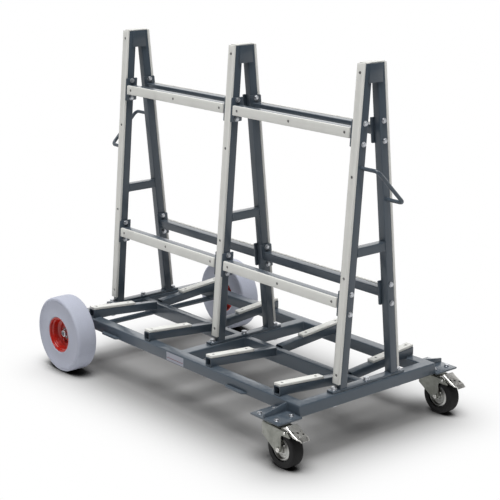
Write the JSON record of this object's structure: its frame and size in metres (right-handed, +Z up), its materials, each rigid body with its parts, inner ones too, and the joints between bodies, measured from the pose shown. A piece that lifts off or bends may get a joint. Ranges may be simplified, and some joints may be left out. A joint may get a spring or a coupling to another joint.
{
  "type": "slab buggy",
  "caption": "Low A-frame buggy that carries stone slabs leaning on both sides, on large wheels and braked swivel casters.",
  "frame": {"origin": "on the floor under the middle of the overall length and width", "axes": "+X along the length to the caster end, +Y to the left side, +Z up"},
  "size_m": [1.4291, 0.848, 1.222],
  "materials": {
    "slate_paint": "slate grey paint, satin",
    "pale_rubber": "pale grey moulded rubber, matt",
    "grey_tyre": "grey non-marking rubber, matt",
    "black_tyre": "black rubber, matt",
    "red_paint": "red gloss paint",
    "zinc_steel": "dull zinc plate",
    "bright_steel": "bright zinc plate"
  },
  "bodies": {
    "root": {"a_frame_caster_end": "slate_paint", "a_frame_middle": "slate_paint", "a_frame_wheel_end": "slate_paint", "arm_strip_left_1": "pale_rubber", "arm_strip_left_2": "pale_rubber", "arm_strip_left_3": "pale_rubber", "arm_strip_left_4": "pale_rubber", "arm_strip_right_1": "pale_rubber", "arm_strip_right_2": "pale_rubber", "arm_strip_right_3": "pale_rubber", "arm_strip_right_4": "pale_rubber", "axle_nut_left": "zinc_steel", "axle_nut_right": "zinc_steel", "caster_plate_left": "zinc_steel", "caster_plate_right": "zinc_steel", "chassis": "slate_paint", "handle_caster_end": "slate_paint", "handle_wheel_end": "slate_paint", "leg_strip_left_caster_end": "pale_rubber", "leg_strip_left_middle": "pale_rubber", "leg_strip_left_wheel_end": "pale_rubber", "leg_strip_right_caster_end": "pale_rubber", "leg_strip_right_middle": "pale_rubber", "leg_strip_right_wheel_end": "pale_rubber", "lower_strip_left_caster_bay": "pale_rubber", "lower_strip_left_wheel_bay": "pale_rubber", "lower_strip_right_caster_bay": "pale_rubber", "lower_strip_right_wheel_bay": "pale_rubber", "lower_tube_left_caster_bay": "slate_paint", "lower_tube_left_wheel_bay": "slate_paint", "lower_tube_right_caster_bay": "slate_paint", "lower_tube_right_wheel_bay": "slate_paint", "upper_strip_left_caster_bay": "pale_rubber", "upper_strip_left_wheel_bay": "pale_rubber", "upper_strip_right_caster_bay": "pale_rubber", "upper_strip_right_wheel_bay": "pale_rubber", "upper_tube_left_caster_bay": "slate_paint", "upper_tube_left_wheel_bay": "slate_paint", "upper_tube_right_caster_bay": "slate_paint", "upper_tube_right_wheel_bay": "slate_paint", "wheel_axle": "slate_paint"},
    "wheel_right": {"wheel_tyre_right": "grey_tyre", "wheel_rim_right": "red_paint", "wheel_bearing_outer_right": "bright_steel", "wheel_bearing_inner_right": "bright_steel"},
    "caster_swivel_right": {"caster_fork_right": "zinc_steel", "caster_axle_right": "zinc_steel"},
    "caster_wheel_right": {"caster_core_right": "zinc_steel", "caster_tyre_right": "black_tyre"},
    "brake_pedal_right": {"brake_pedal_right": "bright_steel"},
    "wheel_left": {"wheel_tyre_left": "grey_tyre", "wheel_rim_left": "red_paint", "wheel_bearing_outer_left": "bright_steel", "wheel_bearing_inner_left": "bright_steel"},
    "caster_swivel_left": {"caster_fork_left": "zinc_steel", "caster_axle_left": "zinc_steel"},
    "caster_wheel_left": {"caster_core_left": "zinc_steel", "caster_tyre_left": "black_tyre"},
    "brake_pedal_left": {"brake_pedal_left": "bright_steel"}
  },
  "joints": [
    {"name": "wheel_spin_right", "type": "hinge", "parent": "root", "child": "wheel_right", "pos_m": [-0.56488, -0.385, 0.1397], "axis": [0, 1, 0], "continuous": true},
    {"name": "caster_swivel_right", "type": "hinge", "parent": "root", "child": "caster_swivel_right", "pos_m": [0.57862, -0.352, 0.1339], "axis": [0, 0, 1], "continuous": true},
    {"name": "caster_spin_right", "type": "hinge", "parent": "caster_swivel_right", "child": "caster_wheel_right", "pos_m": [0.62662, -0.352, 0.0625], "axis": [0, 1, 0], "continuous": true},
    {"name": "brake_pedal_right", "type": "hinge", "parent": "caster_swivel_right", "child": "brake_pedal_right", "pos_m": [0.65463, -0.352, 0.1254], "axis": [0, 1, 0], "range_deg": [0, 12]},
    {"name": "wheel_spin_left", "type": "hinge", "parent": "root", "child": "wheel_left", "pos_m": [-0.56488, 0.385, 0.1397], "axis": [0, 1, 0], "continuous": true},
    {"name": "caster_swivel_left", "type": "hinge", "parent": "root", "child": "caster_swivel_left", "pos_m": [0.57862, 0.352, 0.1339], "axis": [0, 0, 1], "continuous": true},
    {"name": "caster_spin_left", "type": "hinge", "parent": "caster_swivel_left", "child": "caster_wheel_left", "pos_m": [0.62662, 0.352, 0.0625], "axis": [0, 1, 0], "continuous": true},
    {"name": "brake_pedal_left", "type": "hinge", "parent": "caster_swivel_left", "child": "brake_pedal_left", "pos_m": [0.65463, 0.352, 0.1254], "axis": [0, 1, 0], "range_deg": [0, 12]}
  ]
}
